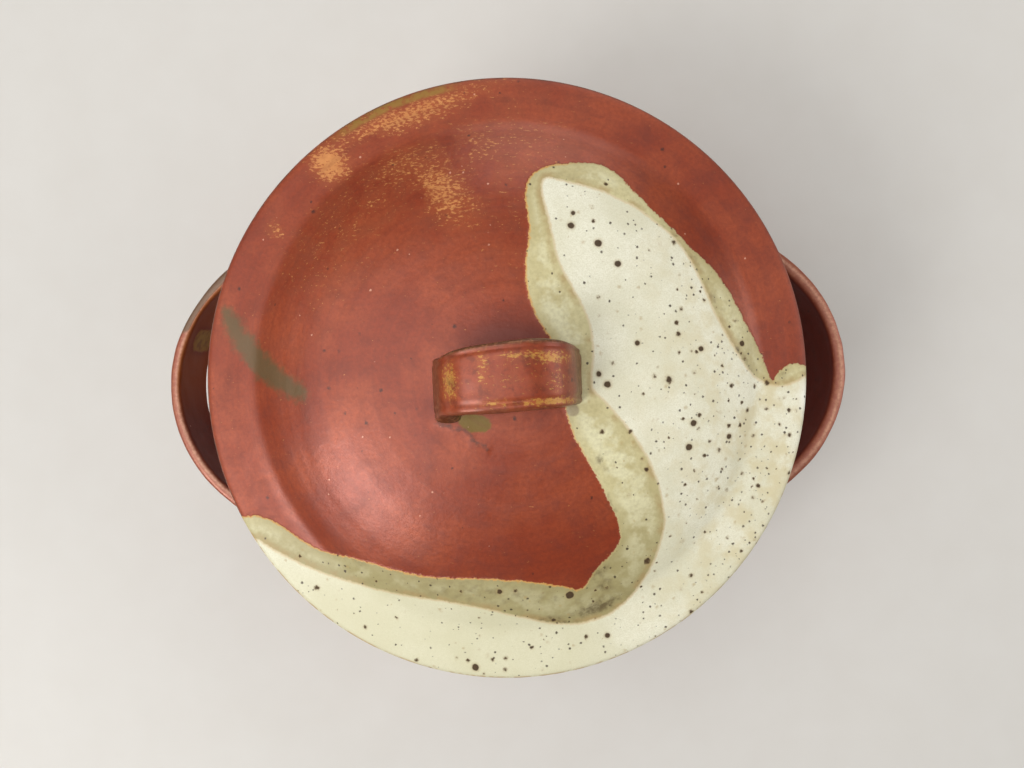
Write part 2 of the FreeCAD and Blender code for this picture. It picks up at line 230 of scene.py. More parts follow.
def throw_pot():
    """The pot: floor, wall, thickened rim and turned foot ring, from one lump of clay."""
    belly_at = BELLY[1]
    inside = (BELLY[0] - WALL, belly_at)
    ring = FOOT - FOOT_RING
    profile = [(0, FLOOR), (3, FLOOR)] + straight((3, FLOOR), (72, FLOOR), 7)
    profile += [(76, FLOOR + 0.5), (79.5, 13.9)]
    profile += level_arc((78, FLOOR), inside, belly_at, 9)[1:]
    profile += level_arc(inside, (MOUTH, 100), belly_at, 6)
    profile += [(MOUTH, 106)]
    profile += corner((MOUTH, 106), (MOUTH, POT_HEIGHT), (RIM, POT_HEIGHT), 2)
    profile += corner((MOUTH, POT_HEIGHT), (RIM, POT_HEIGHT), (RIM, 108), 2)
    profile += [(RIM, 110.5), (RIM - 0.1, 108.6), (RIM - 1, 106), (RIM - 2.2, 103)]
    profile += [(NECK[0] + 0.1, NECK[1] + 0.5)]
    profile += level_arc(NECK, BELLY, belly_at, 6)
    profile += level_arc(BELLY, (FOOT + 4, 8), belly_at, 8)
    profile += [(FOOT + 2, 7.2), (FOOT + 0.2, 6.6)]
    profile += corner((FOOT, 6), (FOOT, 0), (ring, 0), 1.2)
    profile += corner((FOOT, 0), (ring, 0), (ring, FOOT_HOLLOW), 1.2)
    profile += [(ring - 0.4, FOOT_HOLLOW - 0.2), (ring - 2, FOOT_HOLLOW)]
    profile += [(across, FOOT_HOLLOW) for across in (60, 40, 20, 3, 0)]
    piece = throw("thrown_pot", profile, 80)
    smooth(piece, 2)
    return piece


def level_arc_down(first, last, steps):
    """Points on the crown from one radius out to another."""
    radius = (SHOULDER[0] ** 2 + (CROWN - SHOULDER[1]) ** 2) / (2 * (CROWN - SHOULDER[1]))
    found = []
    for step in range(1, steps + 1):
        across = first + (last - first) * step / steps
        found.append((across, CROWN - radius + math.sqrt(radius ** 2 - across ** 2)))
    return found


def throw_lid():
    """The cap lid: crown, shoulder, turned channel, overhanging edge and locating flange."""
    profile = [(0, CROWN), (3, CROWN - 0.01)]
    profile += level_arc_down(3, SHOULDER[0], 10)
    profile += bow(SHOULDER, CHANNEL, 2.52, 9)[:-1]
    profile += [(97.8, 127.5), (100, 126.4), (102.4, 125.65), (105, 125.15)]
    profile += straight((105, 125.15), (117, 123.05), 4)
    profile += corner((117, 123.05), (LID, SEAT + 7), (LID, SEAT), 3, 4)
    profile += corner((LID, SEAT + 7), (LID, SEAT), (110, SEAT), 3, 4)
    within = FLANGE - FLANGE_THICK
    profile += straight((LID - 3, SEAT), (FLANGE + 0.6, SEAT), 4)
    profile += [(FLANGE, SEAT - 0.6), (FLANGE, 110)]
    profile += corner((FLANGE, 110), (FLANGE, FLANGE_END), (within, FLANGE_END), 1.5)
    profile += corner((FLANGE, FLANGE_END), (within, FLANGE_END), (within, 110), 1.5)
    profile += [(within, 112), (within, 119), (within - 1, 122.2)]
    profile += bow((within - 1, 122.2), (SHOULDER[0], SHOULDER[1] - WALL), -2.1, 6)
    profile += [(42, 139.6), (28, 141.1), (14, 142.0), (3, 142.3), (0, 142.3)]
    piece = throw("thrown_lid", profile, 96)
    smooth(piece, 2)
    return piece


# Sections from a strap's edge to its middle: raised edges round a hollow, and a plain flat one.
HOLLOW = [(1, 0), (0.985, 0.6), (0.93, 0.96), (0.81, 1), (0.66, 0.86), (0.4, 0.79), (0, 0.76)]
FLAT = [(1, 0), (0.985, 0.5), (0.94, 0.84), (0.84, 0.97), (0.66, 1), (0.4, 1), (0, 1)]


def pull_strap(name, form, section):
    """A straight strap from -100 to 100 on X, its width on Y and thickness on Z, drawn out step by step.

    section gives the width and thickness at a share of the way from the middle to either end.
    """
    shares = np.linspace(-1, 1, 25)
    sizes = [(100 * share, *section(share)) for share in shares]
    half = form + [(-across, through) for across, through in form[-2::-1]]
    ring = half + [(across, -through) for across, through in half[-2:0:-1]]
    bpy.ops.object.select_all(action="DESELECT")
    bpy.ops.mesh.primitive_circle_add(vertices=len(ring), radius=MM, fill_type="NOTHING")
    piece = bpy.context.object
    piece.name = name
    piece.data.name = name
    place, wide, thick = sizes[0]
    for point, (across, through) in zip(piece.data.vertices, ring):
        point.co = (place * MM, across * wide / 2 * MM, through * thick / 2 * MM)
    bpy.ops.object.mode_set(mode="EDIT")
    bpy.ops.mesh.select_all(action="SELECT")
    for (place, wide, thick), (was_at, was_wide, was_thick) in zip(sizes[1:], sizes):
        bpy.ops.mesh.extrude_region_move(TRANSFORM_OT_translate={"value": ((place - was_at) * MM, 0, 0)})
        bpy.ops.transform.resize(value=(1, wide / was_wide, thick / was_thick),
                                 center_override=(place * MM, 0, 0))
    bpy.ops.mesh.select_all(action="SELECT")
    bpy.ops.mesh.region_to_loop()
    bpy.ops.mesh.fill_holes(sides=0)
    bpy.ops.mesh.select_all(action="SELECT")
    bpy.ops.mesh.normals_make_consistent(inside=False)
    bpy.ops.object.mode_set(mode="OBJECT")
    smooth(piece, 2)
    return piece


def wobble(points, size, seed):
    """Slow unevenness of hand work, from -1 to 1, about that many millimetres from bump to bump."""
    chance = np.random.RandomState(seed)
    total = np.zeros(len(points))
    for _ in range(9):
        heading = chance.normal(size=3)
        heading = heading / np.linalg.norm(heading)
        length = size * chance.uniform(0.7, 1.6)
        total = total + np.sin(math.tau * (points @ heading) / length + chance.uniform(0, math.tau))
    return total / 4.5


def bend_along(piece, path):
    """Lay a straight strap along a path, which gives middle, way along, way out and way across it."""
    points = points_of(piece)
    middle, out, over = path(points[:, 0])
    move_points(piece, middle + over * points[:, 1:2] + out * points[:, 2:3])
    return points


def side_path(facing, reach, span, fullness, lean_out):
    """The loop of a side strap, from -100 to 100 along it.

    reach is how far it stands out past the mouth, span the angle from its middle to a foot, fullness
    how pointed it is and lean_out how much further out its top is than its lower edge, per millimetre.
    """
    height = POT_HEIGHT - SIDE_DROP - SIDE_TALL / 2

    def path(along):
        share = np.clip(along / 100, -0.999, 0.999)
        level = np.cos(math.pi / 2 * share)
        radius = MOUTH + reach * level ** fullness
        steep = reach * fullness * level ** (fullness - 1) * math.pi / 2 * np.sin(math.pi / 2 * share)
        way = facing + span * share
        outward = way + np.arctan(steep / span / radius)
        middle = np.stack([radius * np.cos(way), radius * np.sin(way), np.full_like(way, height)], 1)
        out = np.stack([np.cos(outward), np.sin(outward), np.zeros_like(way)], 1)
        over = np.stack([lean_out * np.cos(way), lean_out * np.sin(way), np.ones_like(way)], 1)
        return middle, out, over

    return path


def lid_strap_path(along):
    """The arch of the lid's strap, from -100 to 100 along it."""
    share = along / 100
    square = 0.05
    half = (STRAP_LENGTH - STRAP_THICK) / 2 / (1 - square)
    rise = (STRAP_RISE - STRAP_THICK / 2) / (1 - square)
    around = np.radians(90 - share * 98)
    across = half * (np.cos(around) - square * np.cos(3 * around))
    up = CROWN + rise * (np.sin(around) + square * np.sin(3 * around))
    back = -2.6 * share ** 2 + 1.4 * share
    outward = rise * (np.cos(around) + 3 * square * np.cos(3 * around))
    upward = half * (np.sin(around) - 3 * square * np.sin(3 * around))
    length = np.hypot(outward, upward)
    turn = math.radians(1)
    middle = np.stack([across * math.cos(turn) - back * math.sin(turn),
                       across * math.sin(turn) + back * math.cos(turn), up], 1)
    out = np.stack([outward / length * math.cos(turn), outward / length * math.sin(turn),
                    upward / length], 1)
    over = np.tile([-math.sin(turn), math.cos(turn), 0.0], (len(share), 1))
    return middle, out, over


def side_strap(name, facing, thick, reach, span, fullness, lean_out, painted_crest_highlight):
    """Strap pulled wide and flat, thicker where it is luted to the wall.

    The last argument is where a painted highlight line runs along its upper edge, in millimetres out from
    the middle.
    """
    def section(share):
        swell = np.abs(share) ** 6
        return SIDE_TALL + 0.8 + 8 * swell, thick + (18.2 - thick) * swell

    piece = pull_strap(name, HOLLOW, section)
    flat = bend_along(piece, side_path(facing, reach, math.radians(span), fullness, lean_out))
    points, ways = points_of(piece), normals_of(piece)
    uneven = 0.25 * wobble(points, 26, 3) + 0.08 * wobble(points, 8, 4) - 0.25
    moved = points + ways * uneven[:, None]
    # The feet end inside the clay of the wall.
    away = np.hypot(moved[:, 0], moved[:, 1])
    wall = 112 - 7.4 * ((moved[:, 2] - 60) / 42) ** 2
    moved[:, :2] *= (np.maximum(away, wall) / away)[:, None]
    move_points(piece, moved)
    wide, _ = section(flat[:, 0] / 100)
    edge = ease(np.abs(flat[:, 1]) / wide * 2, 0.86, 0.98)
    mark(piece, "edge", edge)
    # A painted highlight line along the crest of the upper edge.
    mark(piece, "painted_crest_highlight", edge * np.exp(-((flat[:, 2] - painted_crest_highlight) / 0.8) ** 2))
    towards_pot = -(ways[:, :2] * points[:, :2]).sum(1) / np.linalg.norm(points[:, :2], axis=1)
    # Painted shade on the face turned towards the pot.
    mark(piece, "painted_shade", ease(towards_pot, 0.1, 0.6))
    mark(piece, "gold", np.zeros(len(points)))
    olive = np.exp(-((points[:, 1] - 22) / 5.5) ** 4 - ((points[:, 2] - 80) / 11) ** 4)
    mark(piece, "olive", olive * (towards_pot > 0) * (points[:, 0] < 0))
    ash = ease(points[:, 1], 18, 30) * (1 - ease(points[:, 1], 46, 60)) * ease(points[:, 2], 84, 97)
    mark(piece, "ash", ash * (points[:, 0] < 0) * (towards_pot < 0.3))
    return piece


THIN_ON_STRAP = [
    (-20, -1, 3, 8, 0, 1.5), (-8, 4, 3, 9, 0, 0.9), (10, 7, 16, 1.6, 0, 1.2), (17, 6, 7, 2.2, 0, 1.5),
    (15, -9, 14, 1.4, 0, 1.7), (-4, -9, 7, 1.4, 0, 1.1), (18, -2, 5, 8, 0, 0.55), (2, 0, 14, 12, 0, 0.4),
]


def lid_strap():
    """Wide strap arched over the crown, its feet swelled out and pressed on."""
    def section(share):
        swell = np.abs(share) ** 6
        wide = 24.8 - 6 * share ** 2 + 1.5 * share
        return wide + (25 - 2.5 * share - wide) * swell, 5.8 + 6.4 * swell

    piece = pull_strap("pulled_lid_strap", FLAT, section)
    flat = bend_along(piece, lid_strap_path)
    points, ways = points_of(piece), normals_of(piece)
    wide, _ = section(flat[:, 0] / 100)
    from_edge = wide / 2 - np.abs(flat[:, 1])
    pressed = np.exp(-((from_edge - np.where(flat[:, 1] > 0, 2.6, 3.6)) / 0.9) ** 2) * (flat[:, 2] > 1)
    uneven = 0.22 * wobble(points, 18, 5) + 0.08 * wobble(points, 6, 6) - 0.25 - 0.4 * pressed
    move_points(piece, points + ways * uneven[:, None])
    # Darker edge colour: the glaze breaking at the edges, with painted shade full on the back edge and
    # the legs and weaker on the front edge.
    edge = (1 - ease(from_edge, 0.6, 2.4)) * np.where(flat[:, 1] > 0, 1, 0.4)
    legs = 0.85 * ease(np.abs(flat[:, 0]), 52, 78)
    mark(piece, "edge", np.maximum(edge, legs))
    mark(piece, "painted_crest_highlight", np.zeros(len(points)))
    mark(piece, "ash", np.zeros(len(points)))
    # Painted shade under the arch.
    mark(piece, "painted_shade", 0.8 * (1 - ease(flat[:, 2], -1.5, 0.5)))
    mark(piece, "gold", patches(points, THIN_ON_STRAP) * (ways[:, 2] > 0.1))
    mark(piece, "olive", np.exp(-((points[:, 0] + 15) / 5) ** 2 - ((points[:, 2] - 149) / 3) ** 2)
         * (flat[:, 2] < 0) * (points[:, 1] < -10))
    return piece


def softened(outline, rounds=2):
    """A closed outline with its corners cut."""
    points = np.array(outline, float)
    for _ in range(rounds):
        following = np.roll(points, -1, axis=0)
        near, far = 0.75 * points + 0.25 * following, 0.25 * points + 0.75 * following
        points = np.stack([near, far], 1).reshape(-1, 2)
    return points


def depth_inside(spots, outline):
    """How far each spot is inside a closed outline, negative outside it."""
    first = softened(outline)
    second = np.roll(first, -1, axis=0)
    nearest = np.full(len(spots), 1e9)
    inside = np.zeros(len(spots), bool)
    for (x1, y1), (x2, y2) in zip(first, second):
        run, climb = x2 - x1, y2 - y1
        across, up = spots[:, 0] - x1, spots[:, 1] - y1
        share = np.clip((across * run + up * climb) / (run ** 2 + climb ** 2), 0, 1)
        nearest = np.minimum(nearest, np.hypot(across - share * run, up - share * climb))
        if y1 != y2:
            crosses = (y1 > spots[:, 1]) != (y2 > spots[:, 1])
            inside ^= crosses & (spots[:, 0] < (spots[:, 1] - y1) * run / climb + x1)
    return np.where(inside, nearest, -nearest)


def patches(spots, places):
    """Soft patches: each has a middle, a reach each way, a turn in degrees and a strength."""
    total = np.zeros(len(spots))
    for x, y, reach, width, turn, strength in places:
        way = math.radians(turn)
        along = (spots[:, 0] - x) * math.cos(way) + (spots[:, 1] - y) * math.sin(way)
        across = (spots[:, 1] - y) * math.cos(way) - (spots[:, 0] - x) * math.sin(way)
        total = np.maximum(total, strength * np.exp(-(along / reach) ** 2 - (across / width) ** 2))
    return total


# Where the glazes were poured on the lid, in millimetres seen from above.
# The cream with the red over it ends against plain red along the first outline; the cream that the red
# doesn't reach lies inside the second. Past the lid's edge both only close round it.
POUR = [
    (124, 1), (118, 0), (114, 2), (110, 0), (107, -2), (105, -7), (103, -1), (99, 10), (93, 20),
    (88, 30), (82, 39), (73, 47), (64, 57), (54, 67), (46, 77), (42, 80), (36, 82), (28, 82), (20, 81),
    (14, 79), (10, 75), (9, 69), (10, 60), (10, 51), (8, 43), (8, 36), (9, 28), (12, 20), (17, 13),
    (20, 0), (21, -13), (23, -21), (30, -35), (37, -49), (40, -57), (41, -64), (37, -69), (31, -75),
    (25, -84), (20, -81), (7, -78), (-18, -76), (-29, -76), (-41, -74), (-61, -68), (-72, -67),
    (-80, -64), (-91, -56), (-98, -52), (-106, -51), (-125, -55), (-100, -130), (0, -150), (110, -120),
    (145, -40),
]
CREAM = [
    (14, 77), (26, 74), (40, 70), (53, 63), (64, 54), (70, 47), (76, 35), (81, 21), (90, 6), (96, -2),
    (104, -7), (112, -7), (122, -2), (145, -10), (110, -120), (0, -150), (-100, -130), (-115, -72),
    (-104, -59), (-98, -64), (-85, -71), (-67, -78), (-47, -83), (-25, -86), (-5, -91), (6, -95),
    (17, -98), (28, -98), (37, -95), (45, -89), (53, -77), (58, -61), (58, -54), (54, -37), (46, -23),
    (36, -11), (31, -6), (31, 0), (32, 9), (31, 20), (25, 33), (20, 42), (18, 56),
]
# The dull streak of ash that fell on the red at the left.
ASH = [
    (-113, 35), (-107, 29), (-103, 23), (-97, 16), (-90, 9), (-82, 3), (-76, -2), (-77, -6),
    (-82, -6), (-89, -2), (-98, 3), (-103, 9), (-108, 16), (-113, 25),
]
# The slip smeared away from the strap's left foot, and a nub of clay by its right one.
SMEAR = [(-26, -16), (-20, -18), (-16, -19), (-13, -23), (-8, -26)]
NUB = (24, -13)
# Places where the red ran thin and shows gold: middle, reaches, turn, strength.
THIN_ON_LID = [
    (-36, 106, 36, 6, 18, 1.25), (-68, 88, 7, 9, 50, 1.9), (-22, 72, 18, 10, -50, 1.2),
    (-38, 84, 18, 10, 20, 0.8), (-16, 90, 40, 13, 10, 0.6), (-55, 66, 50, 22, 50, 0.42),
    (-90, 62, 4, 4, 0, 0.9), (6, 80, 30, 36, 0, 0.35),
]
# Painted shadow and shade: dark patches about the lid strap's feet, where the strap shades the crown.
PAINTED_SHADOW_ABOUT_STRAP = [
    (0, 16, 18, 7, 0, 0.9), (9, 15, 9, 6, 0, 1.0), (-22, -11, 8, 4, -20, 1.0), (-8, -12, 12, 3, 0, 0.6),
]
# Where iron gathered and stained the two glazes brown: middle, reaches, turn, strength.
STAINS = [
    (33, -91, 14, 3.5, 20, 1.0), (15, -96, 12, 2.5, -8, 0.8), (49, -88, 8, 3, 45, 0.9),
    (-6, -83, 60, 9, -6, 0.45), (88, 9, 4, 2.5, -55, 1.0), (93, 2, 5, 2.5, -50, 1.0),
    (80, 27, 9, 2.5, -60, 0.6), (34, -33, 5, 2, -60, 0.7), (37, -49, 6, 2, -70, 0.6),
    (64, 51, 17, 4, -45, 0.8), (110, -2, 5, 3, 10, 0.6), (24, 76, 14, 3, -5, 0.4),
    (32, -77, 6, 2.5, 45, 0.9), (35, -82, 4, 3, 0, 0.9), (-78, -12, 3, 4, 0, 0.5),
    (-92, -8, 3, 4, 0, 0.6), (-62, -69, 12, 3, -10, 0.4),
]
# The largest specks of iron: middle and radius.
LARGE_SPECKS = [
    (21, -85, 1.7), (26, 56, 1.4), (36, 49, 1.5), (43, 41, 1.3), (37, -4, 1.4), (34, 0, 1.1),
    (70, -20, 1.3), (68, -29, 1.4), (85, -26, 1.2), (-17, -115, 1.5), (49, 11, 1.1), (27, 61, 0.9),
    (65, 64, 1.0), (-6, -82, 1.1), (36, -104, 1.2), (74, 8, 1.1), (92, 10, 1.2),
]


def mark_lid(piece):
    """Where each glaze lies on the lid. Nothing was poured beneath it, so only the red is there."""
    spots = points_of(piece)
    faces = normals_of(piece)
    radius = np.hypot(spots[:, 0], spots[:, 1])
    beneath = (radius < 101) & ((faces[:, 2] < 0) | (spots[:, 2] < 121))
    for name, outline in (("pour", POUR), ("cream", CREAM), ("ash", ASH)):
        mark(piece, name, np.where(beneath, -20, depth_inside(spots, outline)))
    mark(piece, "gold", np.where(beneath, 0, patches(spots, THIN_ON_LID)))
    mark(piece, "stain", np.where(beneath, 0, patches(spots, STAINS)))
    # Painted shade under the lid, and painted shadow about the strap's feet.
    mark(piece, "painted_shade", np.where(beneath, 0.35, patches(spots, PAINTED_SHADOW_ABOUT_STRAP)))
    # A painted highlight on the lid's rounded right edge.
    mark(piece, "painted_rim_highlight", patches(spots, [(119.5, -12, 7, 3, -95, 1.2)]))
    mark(piece, "olive", np.where(beneath, 0, patches(spots, [(-12.5, -16.5, 6.5, 3.6, -14, 1.3)])))
    angle = np.degrees(np.arctan2(spots[:, 1], spots[:, 0]))
    ring = ease(radius, 115.8, 117.2) * (1 - ease(radius, 119.6, 120.6))
    mark(piece, "ochre", ring * ease(angle, 96, 102) * (1 - ease(angle, 118, 126)))
    under = (spots[:, 2] < SEAT + 0.8) & (radius < 118.5) & (radius > 94.9)
    mark(piece, "bare", under.astype(float))


def mark_pot(piece):
    """Bare clay under the foot and on the rim's seat, and painted shade on the inside."""
    spots = points_of(piece)
    radius = np.hypot(spots[:, 0], spots[:, 1])
    foot = 1 - ease(spots[:, 2], 5.5, 8.5)
    seat = ease(spots[:, 2], 113.6, 114.6) * ease(radius, 102.2, 103) * (1 - ease(radius, 109.8, 110.6))
    mark(piece, "bare", np.maximum(foot, seat))
    faces = normals_of(piece)
    outward = (faces[:, 0] * spots[:, 0] + faces[:, 1] * spots[:, 1]) / np.maximum(radius, 1)
    # Painted shade on the inner wall and the inside floor.
    mark(piece, "painted_shade", 0.35 * ((outward < -0.1) | ((spots[:, 2] < 16) & (faces[:, 2] > 0.5))))
    mark(piece, "gold", patches(spots, [(-80, -60, 30, 40, 20, 0.5), (70, 90, 40, 20, 130, 0.4)]))


def raise_rings(piece):
    """Rings of the thrower's fingers on top of the lid, and the smear beside the strap's left foot."""
    spots, ways = points_of(piece), normals_of(piece)
    radius = np.hypot(spots[:, 0], spots[:, 1])
    spiral = np.arctan2(spots[:, 1], spots[:, 0])
    rings = 0.012 * np.sin(math.tau * radius / 7.3 - spiral)
    rings += 0.007 * np.sin(math.tau * radius / 4.3 + spiral)
    rings += 0.025 * np.sin(math.tau * radius / 13.1 - spiral)
    rings += 0.1 * np.exp(-((radius - 91) / 2.6) ** 2)
    shown = ease(ways[:, 2], 0.5, 0.8) * ease(radius, 6, 16)
    shown = shown * (1 - ease(radius, 112, 117)) * (spots[:, 2] > 120)
    top = (spots[:, 2] > 118) & (ways[:, 2] > 0)
    away = np.full(len(spots), 1e9)
    for start, end in zip(SMEAR, SMEAR[1:]):
        run = np.subtract(end, start)
        share = np.clip((spots[:, :2] - start) @ run / (run @ run), 0, 1)
        away = np.minimum(away, np.linalg.norm(spots[:, :2] - start - share[:, None] * run, axis=1))
    ridge = np.exp(-(away / 1.3) ** 2) * top
    mark(piece, "smear", ridge)
    nub = np.exp(-(np.hypot(spots[:, 0] - NUB[0], spots[:, 1] - NUB[1]) / 1.9) ** 2) * top
    mark(piece, "nub", nub)
    lift = (rings - 0.2) * shown + 0.3 * ridge + 0.9 * nub + 0.1 * wobble(spots, 60, 8) * shown
    squeezed = spots + ways * lift[:, None]
    squeezed[:, 0] = squeezed[:, 0] * 0.9972 - 0.25
    move_points(piece, squeezed)


pot = throw_pot()
lid = throw_lid()
raise_rings(lid)
mark_lid(lid)
mark_pot(pot)
right_strap = side_strap("pulled_strap_right", facing=0, thick=5.8, reach=40.5, span=36.1,
                         fullness=0.94, lean_out=0.06, painted_crest_highlight=0.2)
left_strap = side_strap("pulled_strap_left", facing=math.pi, thick=4.8, reach=41.7, span=37.2,
                        fullness=0.87, lean_out=0.0, painted_crest_highlight=-1.1)
top_strap = lid_strap()

for piece, body, node, slot in (
    (pot, "pot", "pot_body", "pot_glaze"),
    (right_strap, "pot", "handle_right", "side_handle_glaze"),
    (left_strap, "pot", "handle_left", "side_handle_glaze"),
    (lid, "lid", "lid", "lid_glaze"),
    (top_strap, "lid", "lid_handle", "lid_handle_glaze"),
):
    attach(piece, body)
    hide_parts(node)


# Glazes. Object coordinates are metres, so a pattern of some millimetres has the scale 1 / (size * MM).
# Hematite crystals in the red give it a little of its own colour in its shine.
LUSTRE = 0.2


def new_glaze(name, wanted=()):
    """An empty material, its nodes, the place on the piece, unevenness of four sizes and its marks.

    The sizes in millimetres are those of crystals, drops, brush marks and a hand's reach.
    """
    material = bpy.data.materials.new(name)
    material.use_nodes = True
    tree = material.node_tree
    place = add(tree, "TexCoord", out="Object")
    mottle = {}
    for size, detail in ((1.5, 4.0), (3.5, 3.0), (9, 3.0), (28, 2.0)):
        mottle[size] = add(tree, "TexNoise", {"Vector": place, "Scale": 1 / (size * MM), "Detail": detail,
                                              "Roughness": 0.6})
    marks = {word: add(tree, "Attribute", {}, "Fac", attribute_name=word) for word in wanted}
    return material, tree, place, mottle, marks


def specks(tree, place, cell, radius, keep, blur):
    """Uneven specks of iron and the halo of each, at most one to a cell.

    keep is the share of cells with one, and blur the share of a speck that fades.
    """
    torn = add(tree, "TexNoise", {"Vector": place, "Scale": 1 / (1.2 * radius * MM), "Detail": 2.0}, 1)
    shake = (radius * 1.4 * MM,) * 3
    shaken = add(tree, "VectorMath", {0: torn, 1: shake, 2: place}, **TIMES_PLUS)
    distance = add(tree, "TexVoronoi", {"Vector": shaken, "Scale": 1 / (cell * MM)})
    cells = distance.node
    chance = add(tree, "SeparateColor", {0: cells.outputs["Color"]}, "Red")
    other = chance.node.outputs["Green"]
    kept = add(tree, "Math", {0: chance, 1: keep}, operation="LESS_THAN")
    share = radius / cell
    size = add(tree, "Math", {0: other, 1: share, 2: share * 0.4}, **TIMES_PLUS)
    size = add(tree, "Math", {0: size, 1: kept}, **TIMES)
    inner = add(tree, "Math", {0: size, 1: 1 - blur}, **TIMES)
    outer = add(tree, "Math", {0: size, 1: 1.5}, **TIMES)
    speck = add(tree, "MapRange", {0: distance, 1: size, 2: inner}, **SOFT)
    halo = add(tree, "MapRange", {0: distance, 1: outer, 2: inner}, **SOFT)
    return speck, halo


def glaze_skin(tree, colour, rough, lustre, height):
    """Finish a glaze: colour, roughness, warm lustre from iron crystals, and its relief in mm."""
    bump = add(tree, "Bump", {"Height": height, "Distance": MM, "Strength": 1.0})
    shader = tree.nodes["Principled BSDF"]
    tree.links.new(colour, shader.inputs["Base Color"])
    tree.links.new(rough, shader.inputs["Roughness"])
    tree.links.new(lustre, shader.inputs["Metallic"])
    tree.links.new(bump, shader.inputs["Normal"])
    shader.inputs["IOR"].default_value = 1.55


def iron_red(tree, place, mottle, marks, dull_gold="#b0622c", bright_gold="#e6a462", pooled="#6b5800"):
    """Saturated iron red, satin from tiny crystals. Gives its colour, roughness and relief.

    It breaks to gold flecks where it ran thin, darkens to liver brown as painted shade under, inside and
    beside things, and turns olive where ash melted into it.
    """
    gold = marks["gold"]
    slow = add(tree, "MapRange", {0: mottle[28], 1: 0.36, 2: 0.64}, **SOFT)
    colour = add(tree, "Mix", {0: slow, 6: linear("#933a1c"), 7: linear("#a54a28")}, **BLEND)
    grain = add(tree, "MapRange", {0: mottle[1.5], 1: 0.3, 2: 0.7, 3: 0.0, 4: 0.45})
    colour = add(tree, "Mix", {0: grain, 6: colour, 7: linear("#6c2917")}, **BLEND)
    brush = add(tree, "MapRange", {0: mottle[9], 1: 0.48, 2: 0.72, 3: 0.0, 4: 0.45})
    colour = add(tree, "Mix", {0: brush, 6: colour, 7: linear("#6e2c1e")}, **BLEND)
    # Painted shade: liver brown where the shade mark is set.
    colour = add(tree, "Mix", {0: marks["painted_shade"], 6: colour, 7: linear("#6c2006")}, **BLEND)

    # Gold gathers in drifts and breaks into flecks a millimetre long.
    drift = add(tree, "Math", {0: gold, 1: 0.16, 2: mottle[9]}, **TIMES_PLUS)
    drift = add(tree, "MapRange", {0: drift, 1: 0.42, 2: 0.62}, **SOFT)
    warm = add(tree, "Math", {0: drift, 1: gold}, **TIMES)
    warm = add(tree, "Math", {0: warm, 1: 0.55}, **TIMES, use_clamp=True)
    colour = add(tree, "Mix", {0: warm, 6: colour, 7: linear("#ac5a2e")}, **BLEND)
    drawn = add(tree, "Mapping", {0: place, 2: (0, 0, 0.3), 3: (0.5, 1, 1)})
    crumbs = add(tree, "TexNoise", {"Vector": drawn, "Scale": 1 / (0.9 * MM), "Detail": 3.0,
                                    "Roughness": 0.65})
    limit = add(tree, "Math", {0: gold, 1: -0.2, 2: 0.66}, **TIMES_PLUS)
    limit_end = add(tree, "Math", {0: limit, 1: 0.12}, operation="ADD")
    fleck = add(tree, "MapRange", {0: crumbs, 1: limit, 2: limit_end}, **SOFT)
    fleck = add(tree, "Math", {0: fleck, 1: drift}, **TIMES)
    fleck = add(tree, "Math", {0: fleck, 1: 0.95}, **TIMES)
    brass = add(tree, "Mix", {0: mottle[3.5], 6: linear(dull_gold), 7: linear(bright_gold)}, **BLEND)
    colour = add(tree, "Mix", {0: fleck, 6: colour, 7: brass}, **BLEND)
    pool = add(tree, "Math", {0: mottle[3.5], 1: 0.6, 2: marks["olive"]}, **TIMES_PLUS)
    pool = add(tree, "MapRange", {0: pool, 1: 0.7, 2: 1.0, 4: 0.9}, **SOFT)
    colour = add(tree, "Mix", {0: pool, 6: colour, 7: linear(pooled)}, **BLEND)

    iron, _ = specks(tree, place, 7, 0.95, 0.5, 0.8)
    iron = add(tree, "Math", {0: iron, 1: 0.85}, **TIMES)
    colour = add(tree, "Mix", {0: iron, 6: colour, 7: linear("#3c1e18")}, **BLEND)
    star, _ = specks(tree, place, 5, 0.42, 0.3, 0.5)
    star = add(tree, "Math", {0: star, 1: 0.75}, **TIMES)
    colour = add(tree, "Mix", {0: star, 6: colour, 7: linear("#dca38a")}, **BLEND)

    height = add(tree, "Math", {0: mottle[1.5], 1: 0.05, 2: 0.0}, **TIMES_PLUS)
    height = add(tree, "Math", {0: mottle[9], 1: 0.14, 2: height}, **TIMES_PLUS)
    rough = add(tree, "MapRange", {0: mottle[9], 1: 0.3, 2: 0.7, 3: 0.32, 4: 0.4})
    return colour, rough, height


def bare_clay(tree, mottle, grog):
    """Toasted stoneware with its iron showing."""
    clay = add(tree, "Mix", {0: mottle[3.5], 6: linear("#a17048"), 7: linear("#c69a6c")}, **BLEND)
    dark = add(tree, "Math", {0: grog, 1: 0.75}, **TIMES)
    return add(tree, "Mix", {0: dark, 6: clay, 7: linear("#4a3322")}, **BLEND)


